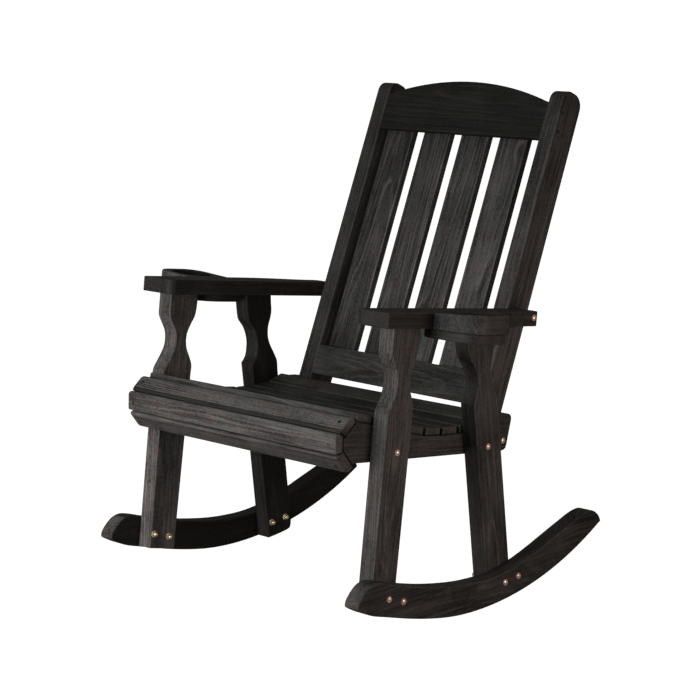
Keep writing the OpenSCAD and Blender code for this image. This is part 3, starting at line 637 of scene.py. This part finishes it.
def slat(node, a, d, w, sign, past_a=0, past_b=0, r_a=4.0, r_b=4.0, shade=None, t=SLAT_T):
    n = nrm(d) * sign
    b = a + d * w
    c, e = b + n * t + d * past_b, a + n * t - d * past_a
    if r_a:
        o = rounded([(a.x, a.y, 1.5), (b.x, b.y, 1.5), (c.x, c.y, r_b), (e.x, e.y, r_a)], 6)
    else:
        # the lower edge is bevelled: the bevel faces down, and its colour is painted dark as shade
        e1, e2, e3 = e + d * 9.5, e + d * 8.0, e + d * 1.0 - n * 2.5
        o = rounded([(a.x, a.y, 1.5), (b.x, b.y, 1.5), (c.x, c.y, r_b), (e1.x, e1.y), (e2.x, e2.y), (e3.x, e3.y, 1.5)], 6)
        low = (e1 + e2) / 2
        shade = lambda q: 0.20 if (Vector((q.x, q.y)) - low).dot(d) < 0 else 1.0
    mid = a + d * w / 2
    holes = []
    for s in (-1, 1):
        holes.append(((mid.x, mid.y, s * SCREW_X), (n.x, n.y, 0), 4.25, t - 3.2, t + 6))
        at = SIDE @ Vector((mid.x + n.x * (t - 3.2), mid.y + n.y * (t - 3.2), s * SCREW_X))
        SCREWS["seat_screws"].append((at, (SIDE.to_3x3() @ Vector((n.x, n.y, 0)))))
    board(node, o, -(X_LEG - INSET), X_LEG - INSET, SIDE, (0, 0, 1), r=3.0, seg=3, holes=holes, shade=shade)


for i in range(8):
    slat(f"seat_slat_{i + 1}", SEATS[i], sdir(i), SLAT_W, 1)
for i in range(3):
    slat(f"nose_slat_{i + 1}", *NOSE[i], t=NOSE_T)

# ------------------------------------------------------------------ back
STILE_Z = [1036, 1078, 446, 476]


def lean_pt(x, depth, s):
    return LEAN_F @ Vector((x, s, -depth))


def stile(node, s):
    # the foot is cut along the seat rail's lower edge
    def foot(u):
        lo, hi = 200.0, 500.0
        for _ in range(40):
            m = (lo + hi) / 2
            y, z = BACK_Y0 + u * cR + m * sR, m * cR - u * sR
            lo, hi = (m, hi) if z < rail_under(y) + 3 else (lo, m)
        return lo
    o = ([[0, foot(0)]] + arc([STILE_R, STILE_TOP - STILE_R], STILE_R, 90, 180, 12)[::-1]
         + arc([67.8 - STILE_R - 4, STILE_TOP - STILE_R - 4], STILE_R + 4, 0, 90, 12)[::-1]
         + [[72.7, 442], [73.5, foot(73.5)]])
    holes = []
    for z in STILE_Z:
        holes.append(((RAIL_T / 2 + 0.5, z, s * X_RAIL), (0, 0, s), 4.25, -3.0, 5.0))
        SCREWS["stile_screws"].append((lean_pt(s * (X_RAIL - 3.0), RAIL_T / 2 + 0.5, z), Vector((s, 0, 0))))
    # painted light: the near stile is drawn paler toward its foot
    board(node, o, *span(s, X_STILE, X_RAIL), STILE_F, (0, 1, 0), r=3.2, holes=holes,
          shade=(lambda c: 1.48 - 0.52 * (c.y - 300) / 831) if s > 0 else None)


both("back_stile", stile)

CREST_LOW, CREST_END = 1015, 1098.5
CREST_R = (X_STILE ** 2 + CREST_RISE ** 2) / (2 * CREST_RISE)
END = 3.0  # the rail ends run a little way into the stiles' rounded edges
top = [[x, CREST_END + CREST_RISE - CREST_R + math.sqrt(max(CREST_R ** 2 - x * x, 0))] for x in [X_STILE * (1 - i / 32) for i in range(65)]]
board("crest_rail", [[-X_STILE - END, CREST_LOW], [X_STILE + END, CREST_LOW], [X_STILE + END, CREST_END]] + top[1:-1] + [[-X_STILE - END, CREST_END]],
      -(RAIL_T + 0.5), -0.5, LEAN_F, (1, 0, 0), r=2.8, pith=(10, 60))
LOW_A, LOW_B = 429, 495
board("lower_back_rail", [[-X_STILE - END, LOW_A - 1], [X_STILE + END, LOW_A - 5], [X_STILE + END, LOW_B], [-X_STILE - END, LOW_B]],
      -(RAIL_T + 0.5), -0.5, LEAN_F, (1, 0, 0), r=2.8)


def slat_tone(c, x, low):
    """Paler sides, a painted light, and a slow change from the foot to the top; low is how dark the foot is."""
    side = 2.0 if abs(c.x - x) > BACK_W / 2 - 1.0 else 1.0
    foot = low + (1.0 - low) * min(max((c.y - 500) / 120, 0.0), 1.0)
    return side * foot * (1.62 - 0.70 * (c.y - 433) / 647)


for i in range(4):
    x = -BACK_SHIFT + (i - 1.5) * (BACK_W + BACK_GAP)
    holes = []
    back = RAIL_T + 0.5 + THIN_T
    for e in (-1, 1):
        for z in (1056, 461):
            holes.append(((x + e * 22, z, -(back - 2.8)), (0, 0, -1), 4.25, 0.0, 8.0))
            SCREWS["back_screws"].append((lean_pt(x + e * 22, back - 2.8, z), (LEAN_F.to_3x3() @ Vector((0, 0, -1)))))
    board(f"back_slat_{i + 1}", [[x - BACK_W / 2, 433], [x + BACK_W / 2, 433], [x + BACK_W / 2, 1080], [x - BACK_W / 2, 1080]],
          -back, -(RAIL_T + 0.5), LEAN_F, (0, 1, 0), r=3.0, holes=holes,
          rings=(500, 560, 640), shade=lambda c, x=x, low=(0.50, 0.58, 0.85, 0.85)[i]: slat_tone(c, x, low))

# ------------------------------------------------------------------ arms
ARM_OUT, ARM_LEN = X_RAIL + 89, 506
PLAN = (arc([X_RAIL + 18, 18], 18, 180, 270, 8) + arc([ARM_OUT - 4, 4], 4, 270, 360, 4)
        + curve([[ARM_OUT, 300], [ARM_OUT - 0.5, 330], [ARM_OUT - 5, 365], [ARM_OUT - 14, 405], [ARM_OUT - 23, 440], [ARM_OUT - 28, 470]], 4)
        + arc([ARM_OUT - 28 - 14, 492], 14, 0, 90, 6) + [[X_RAIL, ARM_LEN]])
CUP_T0, CUP_T1 = 129.5, 250
CUP_OUT, CUP_X, CUP_Y = ARM_OUT + 114, ARM_OUT + 55, 190
BLOCK = ([[ARM_OUT, CUP_T0]] + arc([CUP_OUT - 44, CUP_T0 + 44], 44, 270, 360, 12)
         + arc([CUP_OUT - 40, CUP_T1 - 40], 40, 0, 90, 16) + [[ARM_OUT, CUP_T1]])
PLATE = (arc([X_LEG + 55, CUP_T0 + 55], 55, 180, 270, 12) + arc([CUP_OUT - 46, CUP_T0 + 42], 42, 270, 360, 12)
         + arc([CUP_OUT - 42, CUP_T1 - 42], 38, 0, 90, 16) + arc([X_LEG + 12, CUP_T1 - 16], 12, 90, 180, 6))
LEG_SCREWS = [(X_LEG + STOCK / 2, t) for t in (56, 92, 282, 318)]
PLATE_SCREWS = [(X_LEG + 28, CUP_T0 + 34), (X_LEG + 28, CUP_T1 - 30), (ARM_OUT + 12, CUP_T0 + 12), (ARM_OUT + 12, CUP_T1 - 12)]
up_n = ARM_F.to_3x3() @ Vector((0, 0, 1))


def flip(o, s):
    return [[s * p[0], p[1]] for p in o]


def arm(node, s):
    holes = []
    for x, t in LEG_SCREWS:
        holes.append(((s * x, t, -2.8), (0, 0, 1), 4.25, 0.0, 8.0))
        SCREWS["arm_screws"].append((ARM_F @ Vector((s * x, t, -2.8)), up_n))
    # on the near arm, the front end and the sides are painted dark as shade, most toward the front
    board(node, flip(PLAN, s), -ARM_T, 0, ARM_F, (0, 1, 0), r=2.2, holes=holes,
          shade=(lambda c: (0.37 if c.y < 300 else 0.80) if c.y < 2.0 or -ARM_T + 2.0 < c.z < -2.0 else 1.0) if s > 0 else None)


def cup_block(node, s):
    # the cutter for the cup hole flares at both ends, which rounds the hole's rims
    # the block's top climbs from the arm toward its outer edge
    def climb(v):
        k = (v[2] + ARM_T) / ARM_T
        return (v[0], v[1], v[2] + k * (s * v[0] - ARM_OUT) * CUP_RAISE / 114)

    # painted light and shade on the block: the cup hole is painted dark as shade, the front corner by the arm paler as
    # painted light, and the front paler than the sides
    def block_light_and_shade(c):
        if math.hypot(c.x - s * CUP_X, c.y - CUP_Y) < CUP_R + 0.8:
            return 0.22
        if abs(c.x) < ARM_OUT + 6 and c.y < CUP_T0 + 6:
            return 2.2
        return 1.25 if c.y < CUP_T0 + 30 else 0.85
    z0, z1, r = -ARM_T, 0, 3.5
    prof = [(0, z0 - 4), (CUP_R + r + 1.5, z0 - 4)]
    prof += [(CUP_R + r * (1 - math.sin(a)), z0 + r * (1 - math.cos(a))) for a in [math.pi / 2 * k / 5 for k in range(6)]]
    prof += [(CUP_R + r * (1 - math.sin(a)), z1 - r * (1 - math.cos(a))) for a in [math.pi / 2 * k / 5 for k in range(5, -1, -1)]]
    prof += [(CUP_R + r + 1.5, z1 + 4), (0, z1 + 4)]
    v, f = lathe(prof, 96)
    v = [climb((c[0] + s * CUP_X, c[1] + CUP_Y, c[2])) for c in v]
    board(node, flip(BLOCK, s), z0, z1, ARM_F, (0, 1, 0), r=3.2, shapes=[(v, f)], warp=climb, pith=(260, 25),
          shade=block_light_and_shade)


def cup_plate(node, s):
    holes = []
    for x, t in PLATE_SCREWS:
        holes.append(((s * x, t, -ARM_T - THIN_T + 2.8), (0, 0, -1), 4.25, 0.0, 8.0))
        SCREWS["arm_screws"].append((ARM_F @ Vector((s * x, t, -ARM_T - THIN_T + 2.8)), -up_n))
    board(node, flip(PLATE, s), -ARM_T - THIN_T, -ARM_T, ARM_F, (1, 0, 0), r=3.0, holes=holes)


both("armrest", arm)
both("cup_block", cup_block)
both("cup_plate", cup_plate)

# ------------------------------------------------------------------ fasteners
dome = [(HEAD_R * math.cos(a), 0.6 + 4.6 * math.sin(a)) for a in [math.pi / 2 * k / 8 for k in range(8)]]
HEAD = lathe([(0, -36), (BOLT_R, -36), (BOLT_R, 0), (HEAD_R - 0.4, 0), (HEAD_R, 0.25)] + dome + [(0, 5.2)], 40)
hexa = [(6.4 * math.cos(RAD(60 * k)), 6.4 * math.sin(RAD(60 * k)), 0.5) for k in range(6)]
hv, hf, _ = prism(rounded(hexa, 3), 1.3, 6.3, 0.6, 3)
WASHER = lathe([(0, 0), (7.2, 0), (7.6, 0.3), (7.6, 1.0), (7.2, 1.3), (0, 1.3)], 40)
CAP = lathe([(0, 1.4), (5.0, 1.4), (5.0, 6.9)] + [(5.0 * math.cos(a), 6.9 + 4.4 * math.sin(a)) for a in [math.pi / 2 * k / 7 for k in range(1, 7)]] + [(0, 11.3)], 32)


def axis_x(s, x, y, z):
    """Places a fastener on a face at x, its own axis pointing away from the face along s."""
    m = Matrix.Rotation(RAD(90 * s), 4, "Y")
    return Matrix.Translation((x, y, z)) @ m


def bolts(node, places, s):
    fastener(node, [(*HEAD, axis_x(s, s * x, y, z)) for x, y, z in places], COPPER)


def nuts(node, places, s):
    parts = []
    rnd = random.Random(node)
    for x, y, z in places:
        m = axis_x(-s, s * x, y, z) @ Matrix.Rotation(rnd.uniform(0, 1), 4, "Z")
        parts += [(*WASHER, m), (hv, hf, m), (*CAP, m)]
    fastener(node, parts, BRASS)


SEAT_B = [(X_ROCK, -216, 362), (X_ROCK, 63.5, 327), (X_LEG, 158, 318)]
SEAT_N = [(X_RAIL, -216, 362), (X_RAIL, 63.5, 327), (X_STILE, 158, 318)]
both("rocker_bolts", lambda n, s: bolts(n, [(HALF_W, *b) for b in BOLTS], s))
both("rocker_nuts", lambda n, s: nuts(n, [(X_LEG, *b) for b in BOLTS], s))
both("seat_bolts", lambda n, s: bolts(n, SEAT_B, s))
both("seat_nuts", lambda n, s: nuts(n, SEAT_N, s))
both("arm_bolt", lambda n, s: bolts(n, [(ARM_OUT - 28, 228.5, 574.2)], s))


def screw_head():
    """A flat head with a square drive socket."""
    seg, verts, faces = 16, [], []
    def ring(r, h):
        verts.extend((r * math.cos(2 * math.pi * k / seg), r * math.sin(2 * math.pi * k / seg), h) for k in range(seg))
    def square(a, h):
        for k in range(seg):
            t = 2 * math.pi * k / seg
            c, s_ = math.cos(t), math.sin(t)
            q = a / max(abs(c), abs(s_))
            verts.append((q * c, q * s_, h))
    ring(2.0, 0.0); ring(3.9, 1.9); ring(4.0, 2.2); ring(3.8, 2.4); square(1.35, 2.4); square(1.2, 0.7)
    for j in range(5):
        for k in range(seg):
            k2 = (k + 1) % seg
            faces.append([j * seg + k, j * seg + k2, (j + 1) * seg + k2, (j + 1) * seg + k])
    faces.append(list(range(seg))[::-1])
    faces.append([5 * seg + k for k in range(seg)])
    return verts, faces


SCREW = screw_head()
for node, places in SCREWS.items():
    parts = []
    rnd = random.Random(node)
    for at, n in places:
        q = n.normalized().to_track_quat("Z", "Y").to_matrix().to_4x4()
        parts.append((*SCREW, Matrix.Translation(at) @ q @ Matrix.Rotation(rnd.uniform(0, 3), 4, "Z")))
    fastener(node, parts, STEEL)

# ------------------------------------------------------------------ floor, light
scene.view_settings.view_transform = "Standard"
scene.view_settings.look = "None"
floor = make_object("floor", [(-30, -30, 0), (30, -30, 0), (30, 30, 0), (-30, 30, 0)], [[0, 1, 2, 3]])
fm = bpy.data.materials.new("pale_floor")
fm.use_nodes = True
nt = fm.node_tree
nt.nodes.clear()
o = nt.nodes.new("ShaderNodeOutputMaterial")
dif = nt.nodes.new("ShaderNodeBsdfDiffuse"); dif.inputs[0].default_value = (0.30, 0.30, 0.30, 1)
emi = nt.nodes.new("ShaderNodeEmission"); emi.inputs[0].default_value = (1, 1, 1, 1); emi.inputs[1].default_value = 1.0
lp = nt.nodes.new("ShaderNodeLightPath")
add = nt.nodes.new("ShaderNodeAddShader")
mx = nt.nodes.new("ShaderNodeMixShader")
nt.links.new(emi.outputs[0], add.inputs[0]); nt.links.new(dif.outputs[0], add.inputs[1])
nt.links.new(lp.outputs["Is Camera Ray"], mx.inputs[0]); nt.links.new(dif.outputs[0], mx.inputs[1]); nt.links.new(add.outputs[0], mx.inputs[2])
nt.links.new(mx.outputs[0], o.inputs[0])
floor.data.materials.append(fm)

world = bpy.data.worlds.new("studio")
scene.world = world
world.use_nodes = True
nt = world.node_tree
nt.nodes.clear()
o = nt.nodes.new("ShaderNodeOutputWorld")
b1 = nt.nodes.new("ShaderNodeBackground"); b1.inputs[0].default_value = (1.0, 0.98, 0.90, 1); b1.inputs[1].default_value = 0.16
b2 = nt.nodes.new("ShaderNodeBackground"); b2.inputs[0].default_value = (1, 1, 1, 1); b2.inputs[1].default_value = 1.0
lp = nt.nodes.new("ShaderNodeLightPath")
mx = nt.nodes.new("ShaderNodeMixShader")
nt.links.new(lp.outputs["Is Camera Ray"], mx.inputs[0]); nt.links.new(b1.outputs[0], mx.inputs[1]); nt.links.new(b2.outputs[0], mx.inputs[2])
nt.links.new(mx.outputs[0], o.inputs[0])


def area_light(name, at, aim, size, power, color=(1, 1, 1)):
    d = bpy.data.lights.new(name, "AREA")
    d.shape, d.size, d.size_y, d.energy, d.color = "RECTANGLE", size[0], size[1], power, color
    ob = bpy.data.objects.new(name, d)
    scene.collection.objects.link(ob)
    ob.location = at
    ob.rotation_euler = (Vector(aim) - Vector(at)).to_track_quat("-Z", "Y").to_euler()
    return ob


def studio(name, azimuth, height, power, color=(1, 1, 1), size=(1.6, 1.4), dist=4.0, aim=(0, 0, 0.5)):
    """A soft box at an angle from the chair's front (toward +X) and a height above its middle."""
    a, e = RAD(azimuth), RAD(height)
    at = Vector(aim) + Vector((math.sin(a) * math.cos(e), -math.cos(a) * math.cos(e), math.sin(e))) * dist
    return area_light(name, at, aim, size, power, color)


area_light("front_mid", (0.0, -1.6, 0.90), (0, -0.3, 0.4), (0.6, 0.5), 11.6, (0.97, 1.0, 0.90))
area_light("front_left", (-0.35, -1.6, 0.35), (0, -0.3, 0.3), (0.6, 0.5), 4.4, (1.0, 0.76, 0.78))
area_light("right_warm", (1.6, 0.1, 0.5), (0, 0, 0.5), (0.6, 0.5), 5.4, (1.0, 0.80, 0.70))
studio("front_high", 0, 28, 13, (0.50, 0.75, 1.0))
